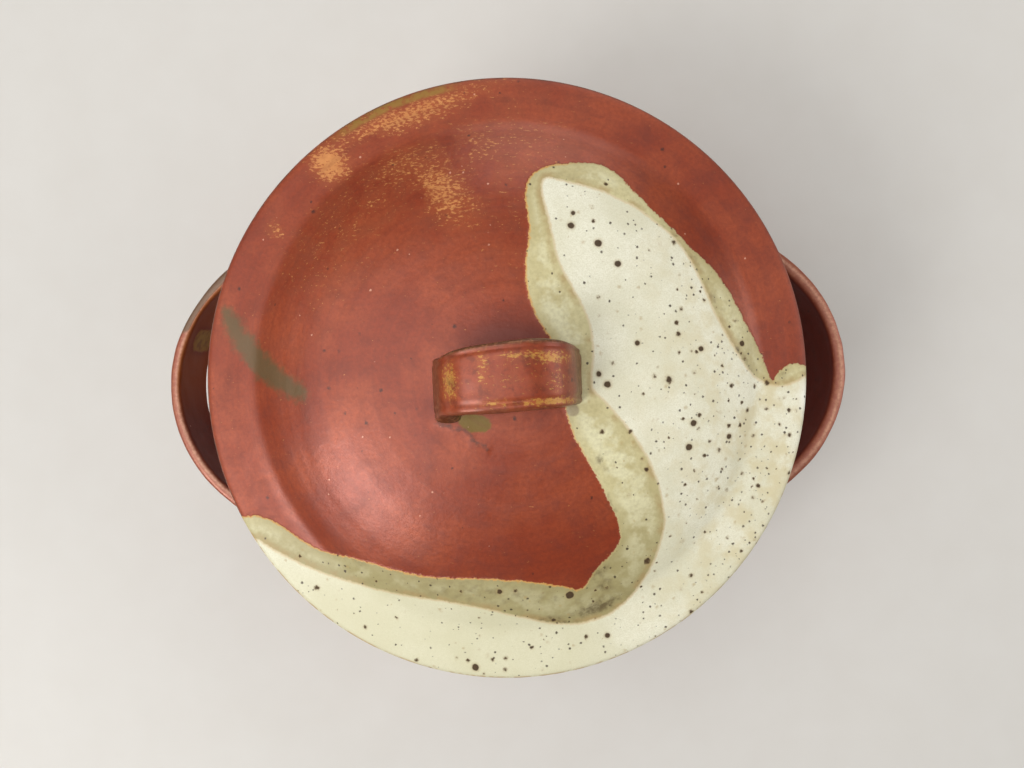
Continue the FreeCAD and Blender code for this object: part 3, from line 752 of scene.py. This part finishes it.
def poured_lid_glaze():
    """Iron red over a thick stony cream: where both lie, they melt into an olive buff.

    The cream is a matt magnesia glaze that lets the clay's iron through as brown specks.
    """
    material, tree, place, mottle, marks = new_glaze("iron_red_over_speckled_cream", (
        "pour", "cream", "ash", "ochre", "bare", "smear", "nub", "stain", "painted_shade", "painted_rim_highlight", "gold",
        "olive"))
    across = add(tree, "SeparateXYZ", {0: place})
    along = across.node.outputs["Y"]
    flat = add(tree, "VectorMath", {0: place, 1: (1, 1, 0)}, **TIMES)
    radius = add(tree, "VectorMath", {0: flat}, 1, operation="LENGTH")
    rings = add(tree, "TexNoise", {"W": radius, "Scale": 1 / (2.6 * MM), "Detail": 2.0},
                noise_dimensions="1D")

    red, red_rough, height = iron_red(tree, place, mottle, marks)
    lines = add(tree, "MapRange", {0: rings, 1: 0.4, 2: 0.75, 4: 0.16}, **SOFT)
    red = add(tree, "Mix", {0: lines, 6: red, 7: linear("#6e2c1c")}, **BLEND)
    ash = add(tree, "Math", {0: mottle[3.5], 1: 6.0, 2: marks["ash"]}, **TIMES_PLUS)
    ash = add(tree, "Math", {0: mottle[1.5], 1: 2.0, 2: ash}, **TIMES_PLUS)
    ash = add(tree, "MapRange", {0: ash, 1: 1.6, 2: 6.6, 4: 0.85}, **SOFT)
    red = add(tree, "Mix", {0: ash, 6: red, 7: linear("#5f5132")}, **BLEND)
    ochre = add(tree, "MapRange", {0: mottle[3.5], 1: 0.3, 2: 0.55}, **SOFT)
    ochre = add(tree, "Math", {0: ochre, 1: marks["ochre"]}, **TIMES)
    ochre = add(tree, "Math", {0: ochre, 1: 0.85}, **TIMES)
    red = add(tree, "Mix", {0: ochre, 6: red, 7: linear("#97742e")}, **BLEND)
    slip = add(tree, "Math", {0: marks["smear"], 1: mottle[1.5]}, **TIMES)
    slip = add(tree, "MapRange", {0: slip, 1: 0.15, 2: 0.6, 4: 0.6}, **SOFT)
    red = add(tree, "Mix", {0: slip, 6: red, 7: linear("#472c22")}, **BLEND)

    # The glazes' edges: nibbled by a millimetre and drifting by a few.
    nibble = add(tree, "Math", {0: mottle[1.5], 1: 2.0, 2: -1.0}, **TIMES_PLUS)
    drift = add(tree, "Math", {0: mottle[9], 1: 1.6, 2: -0.8}, **TIMES_PLUS)
    both = add(tree, "Math", {0: nibble, 1: drift}, operation="ADD")
    pour = add(tree, "Math", {0: marks["pour"], 1: both}, operation="ADD")
    cream = add(tree, "Math", {0: both, 1: 0.7, 2: marks["cream"]}, **TIMES_PLUS)

    broad = add(tree, "MapRange", {0: mottle[28], 1: 0.38, 2: 0.62}, **SOFT)
    stone = add(tree, "Mix", {0: broad, 6: linear("#efedda"), 7: linear("#e1dec6")}, **BLEND)
    dust = add(tree, "TexNoise", {"Vector": place, "Scale": 1 / (0.5 * MM), "Detail": 2.0})
    dust = add(tree, "MapRange", {0: dust, 1: 0.4, 2: 0.7, 4: 0.45})
    stone = add(tree, "Mix", {0: dust, 6: stone, 7: linear("#c8c2a0")}, **BLEND)
    crystals = add(tree, "MapRange", {0: mottle[1.5], 1: 0.35, 2: 0.65, 4: 0.35})
    stone = add(tree, "Mix", {0: crystals, 6: stone, 7: linear("#d6d3b9")}, **BLEND)
    right = add(tree, "MapRange", {0: across, 1: 0.03, 2: 0.1, 4: 1.0}, **SOFT)
    warm = add(tree, "MapRange", {0: mottle[9], 1: 0.4, 2: 0.66, 3: 0.1, 4: 0.8}, **SOFT)
    warm = add(tree, "Math", {0: warm, 1: right}, **TIMES)
    stone = add(tree, "Mix", {0: warm, 6: stone, 7: linear("#d3c79f")}, **BLEND)

    # Painted shade: the cream darker towards the bottom, mostly on the left.
    low = add(tree, "MapRange", {0: along, 1: -0.045, 2: -0.085, 4: 0.6}, **SOFT)
    lit = add(tree, "MapRange", {0: across, 1: 0.0, 2: 0.06, 3: 1.0, 4: 0.1}, **SOFT)
    low = add(tree, "Math", {0: low, 1: lit}, **TIMES)
    stone = add(tree, "Mix", {0: low, 6: stone, 7: linear("#cfcaa4")}, **BLEND)

    body = add(tree, "MapRange", {0: mottle[28], 1: 0.36, 2: 0.62}, **SOFT)
    buff = add(tree, "Mix", {0: body, 6: linear("#bdb180"), 7: linear("#d0c798")}, **BLEND)
    # Painted shade: the overlap darker towards the bottom; the same mask dims its lighter core below.
    low = add(tree, "MapRange", {0: along, 1: -0.03, 2: -0.085, 4: 0.75}, **SOFT)
    buff = add(tree, "Mix", {0: low, 6: buff, 7: linear("#958a5b")}, **BLEND)
    behind = add(tree, "Math", {0: cream, 1: -1.0}, **TIMES)
    core = add(tree, "Math", {0: pour, 1: behind}, operation="MINIMUM")
    core = add(tree, "MapRange", {0: core, 1: 0.8, 2: 6.0, 4: 0.8}, **SOFT)
    shade = add(tree, "Math", {0: low, 1: -0.9, 2: 1.0}, **TIMES_PLUS)
    core = add(tree, "Math", {0: core, 1: shade}, **TIMES)
    milky = add(tree, "MapRange", {0: mottle[9], 1: 0.4, 2: 0.6}, **SOFT)
    core = add(tree, "Math", {0: core, 1: milky}, **TIMES)
    buff = add(tree, "Mix", {0: core, 6: buff, 7: linear("#e3dfba")}, **BLEND)
    crystals = add(tree, "MapRange", {0: mottle[1.5], 1: 0.4, 2: 0.7, 4: 0.3})
    buff = add(tree, "Mix", {0: crystals, 6: buff, 7: linear("#94875a")}, **BLEND)
    brown = add(tree, "Math", {0: mottle[3.5], 1: 1.2, 2: -0.35}, **TIMES_PLUS, use_clamp=True)
    brown = add(tree, "Math", {0: brown, 1: marks["stain"]}, **TIMES)
    brown = add(tree, "MapRange", {0: brown, 1: 0.04, 2: 0.4, 4: 0.85}, **SOFT)
    thin = add(tree, "MapRange", {0: cream, 1: -3.2, 2: -0.4, 4: 0.7}, **SOFT)
    thin = add(tree, "Math", {0: thin, 1: milky}, **TIMES)
    buff = add(tree, "Mix", {0: thin, 6: buff, 7: linear("#ac9160")}, **BLEND)
    buff = add(tree, "Mix", {0: brown, 6: buff, 7: linear("#5e4e2e")}, **BLEND)
    rind = add(tree, "MapRange", {0: pour, 1: 1.0, 2: 0.2}, **SOFT)
    left = add(tree, "MapRange", {0: across, 1: 0.032, 2: 0.02, 3: 0.12, 4: 0.85})
    rind = add(tree, "Math", {0: rind, 1: left}, **TIMES)
    buff = add(tree, "Mix", {0: rind, 6: buff, 7: linear("#d0984a")}, **BLEND)

    # Painted highlight: the cream whiter on the rounded right edge.
    thick = add(tree, "Math", {0: marks["painted_rim_highlight"], 1: 0.9}, **TIMES, use_clamp=True)
    stone = add(tree, "Mix", {0: thick, 6: stone, 7: linear("#f6f4e8")}, **BLEND)

    in_cream = add(tree, "MapRange", {0: cream, 1: -0.5, 2: 0.6}, **SOFT)
    pale = add(tree, "Mix", {0: in_cream, 6: buff, 7: stone}, **BLEND)
    hem = add(tree, "MapRange", {0: cream, 1: 1.2, 2: 0.0, 4: 0.7}, **SOFT)
    hem = add(tree, "Math", {0: hem, 1: in_cream}, **TIMES)
    pale = add(tree, "Mix", {0: hem, 6: pale, 7: linear("#cdb07a")}, **BLEND)

    crowd = add(tree, "MapRange", {0: across, 1: 0.02, 2: 0.1}, **SOFT)
    bottom = add(tree, "MapRange", {0: along, 1: -0.05, 2: -0.09, 4: 0.35}, **SOFT)
    crowd = add(tree, "Math", {0: crowd, 1: bottom}, operation="MAXIMUM")
    few = add(tree, "Math", {0: crowd, 1: 0.65, 2: 0.17}, **TIMES_PLUS)
    small, _ = specks(tree, place, 2.3, 0.55, few, 0.6)
    middling, halo = specks(tree, place, 5, 0.95, few, 0.6)
    large, wide_halo = specks(tree, place, 12, 1.4, few, 0.5)
    torn = add(tree, "TexNoise", {"Vector": place, "Scale": 1 / (2 * MM), "Detail": 1.0})
    for x, y, reach in LARGE_SPECKS:
        off = add(tree, "VectorMath", {0: flat, 1: (x * MM, y * MM, 0)}, 1, operation="DISTANCE")
        off = add(tree, "Math", {0: torn, 1: 0.8 * MM, 2: off}, **TIMES_PLUS)
        spot = add(tree, "MapRange", {0: off, 1: (reach + 0.5) * MM, 2: reach * MM}, **SOFT)
        large = add(tree, "Math", {0: large, 1: spot}, operation="MAXIMUM")
        spot = add(tree, "MapRange", {0: off, 1: (reach * 1.4 + 0.9) * MM, 2: reach * MM}, **SOFT)
        wide_halo = add(tree, "Math", {0: wide_halo, 1: spot}, operation="MAXIMUM")
    freckle, _ = specks(tree, place, 4.2, 0.9, 0.5, 0.9)
    freckle = add(tree, "Math", {0: freckle, 1: 0.5}, **TIMES)
    pale = add(tree, "Mix", {0: freckle, 6: pale, 7: linear("#ab9055")}, **BLEND)
    halo = add(tree, "Math", {0: halo, 1: wide_halo}, operation="MAXIMUM")
    halo = add(tree, "Math", {0: halo, 1: 0.45}, **TIMES)
    pale = add(tree, "Mix", {0: halo, 6: pale, 7: linear("#a98e5a")}, **BLEND)
    small = add(tree, "Math", {0: small, 1: 0.92}, **TIMES)
    pale = add(tree, "Mix", {0: small, 6: pale, 7: linear("#342003")}, **BLEND)
    spots = add(tree, "Math", {0: middling, 1: large}, operation="MAXIMUM")
    shown = add(tree, "Math", {0: spots, 1: 0.95}, **TIMES)
    speck = add(tree, "Mix", {0: mottle[1.5], 6: linear("#201204"), 7: linear("#4e3110")}, **BLEND)
    pale = add(tree, "Mix", {0: shown, 6: pale, 7: speck}, **BLEND)

    smoke = add(tree, "Math", {0: brown, 1: 0.6}, **TIMES)
    red = add(tree, "Mix", {0: smoke, 6: red, 7: linear("#4c3a26")}, **BLEND)
    covered = add(tree, "MapRange", {0: pour, 1: -0.2, 2: 0.25}, **SOFT)
    colour = add(tree, "Mix", {0: covered, 6: red, 7: pale}, **BLEND)
    worn = add(tree, "MapRange", {0: radius, 1: 0.1193, 2: 0.1203, 4: 0.85}, **SOFT)
    patchy = add(tree, "MapRange", {0: mottle[3.5], 1: 0.35, 2: 0.6}, **SOFT)
    worn = add(tree, "Math", {0: worn, 1: patchy}, **TIMES)
    rust = add(tree, "Mix", {0: covered, 6: linear("#63381f"), 7: linear("#b4935c")}, **BLEND)
    colour = add(tree, "Mix", {0: worn, 6: colour, 7: rust}, **BLEND)
    clay = bare_clay(tree, mottle, small)
    crumb = add(tree, "Mix", {0: mottle[1.5], 6: linear("#6f5a40"), 7: linear("#c2b493")}, **BLEND)
    lump = add(tree, "MapRange", {0: marks["nub"], 1: 0.12, 2: 0.35, 4: 0.85}, **SOFT)
    colour = add(tree, "Mix", {0: lump, 6: colour, 7: crumb}, **BLEND)
    colour = add(tree, "Mix", {0: marks["bare"], 6: colour, 7: clay}, **BLEND)

    height = add(tree, "Math", {0: rings, 1: 0.015, 2: height}, **TIMES_PLUS)
    step = add(tree, "MapRange", {0: pour, 1: -0.7, 2: 0.9, 4: 0.24}, **SOFT)
    height = add(tree, "Math", {0: step, 1: height}, operation="ADD")
    step = add(tree, "MapRange", {0: cream, 1: -0.9, 2: 0.9, 4: -0.1}, **SOFT)
    height = add(tree, "Math", {0: step, 1: height}, operation="ADD")
    pitted = add(tree, "Math", {0: spots, 1: covered}, **TIMES)
    height = add(tree, "Math", {0: pitted, 1: -0.05, 2: height}, **TIMES_PLUS)
    stony = add(tree, "MapRange", {0: mottle[9], 1: 0.3, 2: 0.7, 3: 0.48, 4: 0.58})
    dry = add(tree, "MapRange", {0: radius, 1: 0.099, 2: 0.106, 4: 0.16}, **SOFT)
    red_rough = add(tree, "Math", {0: dry, 1: red_rough}, operation="ADD")
    rough = add(tree, "Mix", {0: covered, 2: red_rough, 3: stony})
    rough = add(tree, "Mix", {0: pitted, 2: rough, 3: 0.9})
    rough = add(tree, "Mix", {0: marks["bare"], 2: rough, 3: 0.85})
    hidden = add(tree, "Math", {0: covered, 1: marks["bare"]}, operation="MAXIMUM")
    lustre = add(tree, "MapRange", {0: hidden, 3: LUSTRE, 4: 0.0})
    glaze_skin(tree, colour, rough, lustre, height)
    return material


def pot_glaze():
    """Iron red all over, and bare toasted stoneware where the pot stands and where the lid sits."""
    material, tree, place, mottle, marks = new_glaze("iron_red_on_stoneware",
                                                     ("painted_shade", "bare", "gold", "olive"))
    high = add(tree, "SeparateXYZ", {0: place}, "Z")
    red, rough, height = iron_red(tree, place, mottle, marks)
    drawn = add(tree, "Mapping", {0: place, 3: (1, 1, 0.22)})
    runs = add(tree, "TexNoise", {"Vector": drawn, "Scale": 1 / (8 * MM), "Detail": 3.0})
    runs = add(tree, "MapRange", {0: runs, 1: 0.5, 2: 0.72, 4: 0.4}, **SOFT)
    red = add(tree, "Mix", {0: runs, 6: red, 7: linear("#66281a")}, **BLEND)
    bands = add(tree, "TexNoise", {"W": high, "Scale": 1 / (3 * MM), "Detail": 2.0},
                noise_dimensions="1D")
    lines = add(tree, "MapRange", {0: bands, 1: 0.45, 2: 0.75, 4: 0.3}, **SOFT)
    red = add(tree, "Mix", {0: lines, 6: red, 7: linear("#aa5c3e")}, **BLEND)
    waxed = add(tree, "Math", {0: mottle[3.5], 1: 0.5, 2: marks["bare"]}, **TIMES_PLUS)
    waxed = add(tree, "MapRange", {0: waxed, 1: 0.7, 2: 0.8}, **SOFT)
    grog, _ = specks(tree, place, 3.4, 0.45, 0.5, 0.4)
    clay = bare_clay(tree, mottle, grog)
    colour = add(tree, "Mix", {0: waxed, 6: red, 7: clay}, **BLEND)
    height = add(tree, "Math", {0: bands, 1: 0.1, 2: height}, **TIMES_PLUS)
    height = add(tree, "Math", {0: waxed, 1: -0.25, 2: height}, **TIMES_PLUS)
    rough = add(tree, "Mix", {0: waxed, 2: rough, 3: 0.88})
    lustre = add(tree, "MapRange", {0: waxed, 3: LUSTRE, 4: 0.0})
    glaze_skin(tree, colour, rough, lustre, height)
    return material


def strap_glaze(name, edge_colour, gold_share, dull_gold, bright_gold):
    """Iron red pulled thin over a strap's edges, where it breaks to another colour; the lid strap's
    darker edge also carries painted shade.

    The painted shade inside the left strap is browner, and ash fell on its back edge. A painted highlight
    line runs along a side strap's upper edge.
    """
    material, tree, place, mottle, marks = new_glaze(
        name, ("painted_shade", "edge", "painted_crest_highlight", "ash", "gold", "olive"))
    painted_shade, edge = marks["painted_shade"], marks["edge"]
    red, rough, height = iron_red(tree, place, mottle, marks, dull_gold, bright_gold, "#b09c44")
    smoky = add(tree, "MapRange", {0: mottle[3.5], 1: 0.45, 2: 0.7, 4: 0.5}, **SOFT)
    red = add(tree, "Mix", {0: smoky, 6: red, 7: linear("#5c2413")}, **BLEND)
    broken = add(tree, "MapRange", {0: mottle[3.5], 1: 0.2, 2: 0.5, 3: 0.5, 4: 0.95}, **SOFT)
    broken = add(tree, "Math", {0: broken, 1: edge}, **TIMES)
    colour = add(tree, "Mix", {0: broken, 6: red, 7: linear(edge_colour)}, **BLEND)
    bright = add(tree, "MapRange", {0: mottle[1.5], 1: 0.48, 2: 0.62, 4: gold_share}, **SOFT)
    bright = add(tree, "Math", {0: bright, 1: edge}, **TIMES)
    colour = add(tree, "Mix", {0: bright, 6: colour, 7: linear("#c98a5c")}, **BLEND)
    # Painted highlight along the crest of a side strap's upper edge.
    line = add(tree, "MapRange", {0: mottle[1.5], 1: 0.3, 2: 0.6, 3: 0.3, 4: 0.95})
    line = add(tree, "Math", {0: line, 1: marks["painted_crest_highlight"]}, **TIMES)
    colour = add(tree, "Mix", {0: line, 6: colour, 7: linear("#d9a389")}, **BLEND)
    ash = add(tree, "Math", {0: mottle[3.5], 1: 0.7, 2: marks["ash"]}, **TIMES_PLUS)
    ash = add(tree, "MapRange", {0: ash, 1: 0.7, 2: 1.2, 4: 0.85}, **SOFT)
    colour = add(tree, "Mix", {0: ash, 6: colour, 7: linear("#68543f")}, **BLEND)
    # Browner painted shade on the inner face of the left strap's back half.
    across = add(tree, "SeparateXYZ", {0: place})
    left = add(tree, "MapRange", {0: across, 1: -0.1, 2: -0.12, 4: 0.7})
    behind = add(tree, "MapRange", {0: across.node.outputs["Y"], 1: -0.02, 2: 0.01}, **SOFT)
    brown = add(tree, "Math", {0: left, 1: behind}, **TIMES)
    brown = add(tree, "Math", {0: brown, 1: painted_shade}, **TIMES)
    clear = add(tree, "Math", {0: marks["olive"], 1: -1.0, 2: 1.0}, **TIMES_PLUS, use_clamp=True)
    brown = add(tree, "Math", {0: brown, 1: clear}, **TIMES)
    colour = add(tree, "Mix", {0: brown, 6: colour, 7: linear("#a85a0c")}, **BLEND)
    matt = add(tree, "Math", {0: painted_shade, 1: 0.35, 2: rough}, **TIMES_PLUS)
    lustre = add(tree, "MapRange", {0: painted_shade, 3: LUSTRE, 4: 0.05})
    glaze_skin(tree, colour, matt, lustre, height)
    return material


side_glaze = strap_glaze("iron_red_thin_on_side_straps", "#96503a", 0.2, "#b0622c", "#e6a462")
# The lid strap's dark edge colour carries painted shade on its back edge and legs.
top_glaze = strap_glaze("iron_red_and_gold_on_lid_strap", "#5c381c", 0.3, "#a06a2a", "#dba24c")
for piece, glaze in ((pot, pot_glaze()), (lid, poured_lid_glaze()), (right_strap, side_glaze),
                     (left_strap, side_glaze), (top_strap, top_glaze)):
    piece.data.materials.clear()
    piece.data.materials.append(glaze)

# Floor, light and camera.
bpy.ops.object.select_all(action="DESELECT")
bpy.ops.mesh.primitive_plane_add(size=6, location=(0, 0, 0))
floor = bpy.context.object
floor.name = "floor"
backdrop, tree, _, mottle, _ = new_glaze("pale_paper")
paper = add(tree, "Mix", {0: mottle[28], 6: linear("#dad8d4"), 7: linear("#d5d2cd")}, **BLEND)
tree.links.new(paper, tree.nodes["Principled BSDF"].inputs["Base Color"])
tree.nodes["Principled BSDF"].inputs["Roughness"].default_value = 0.9
floor.data.materials.append(backdrop)

world = bpy.data.worlds.new("soft_room")
bpy.context.scene.world = world
world.use_nodes = True
world.node_tree.nodes["Background"].inputs["Color"].default_value = linear("#f2f1ef")
world.node_tree.nodes["Background"].inputs["Strength"].default_value = 0.25

for name, place, size, power in (
    ("window", (-0.66, -0.48, 0.85), 0.42, 5.2),
    ("sky", (-0.60, 0.0, 1.05), 1.05, 6.3),
    ("ceiling", (0.0, 0.0, 1.4), 0.6, 1.8),
    ("right_wall", (1.1, 0.0, 0.6), 0.8, 4.4),
    ("back_wall", (0.2, 1.1, 0.6), 0.8, 3.4),
):
    lamp = bpy.data.lights.new(name, "AREA")
    lamp.shape = "SQUARE"
    lamp.size = size
    lamp.energy = power
    lamp.color = (1.0, 0.985, 0.96)
    holder = bpy.data.objects.new(name, lamp)
    bpy.context.scene.collection.objects.link(holder)
    holder.location = place
    towards = Vector((0, 0, 0.13)) - Vector(place)
    holder.rotation_euler = towards.to_track_quat("-Z", "Y").to_euler()

camera_data = bpy.data.cameras.new("camera")
camera_data.lens = 27.95
camera_data.sensor_width = 36
camera = bpy.data.objects.new("camera", camera_data)
bpy.context.scene.collection.objects.link(camera)
camera.location = (0.0017, -0.0026, 0.4405)
camera.rotation_euler = (0, 0, math.radians(-2.1))
bpy.context.scene.camera = camera
bpy.context.scene.view_settings.view_transform = "Standard"
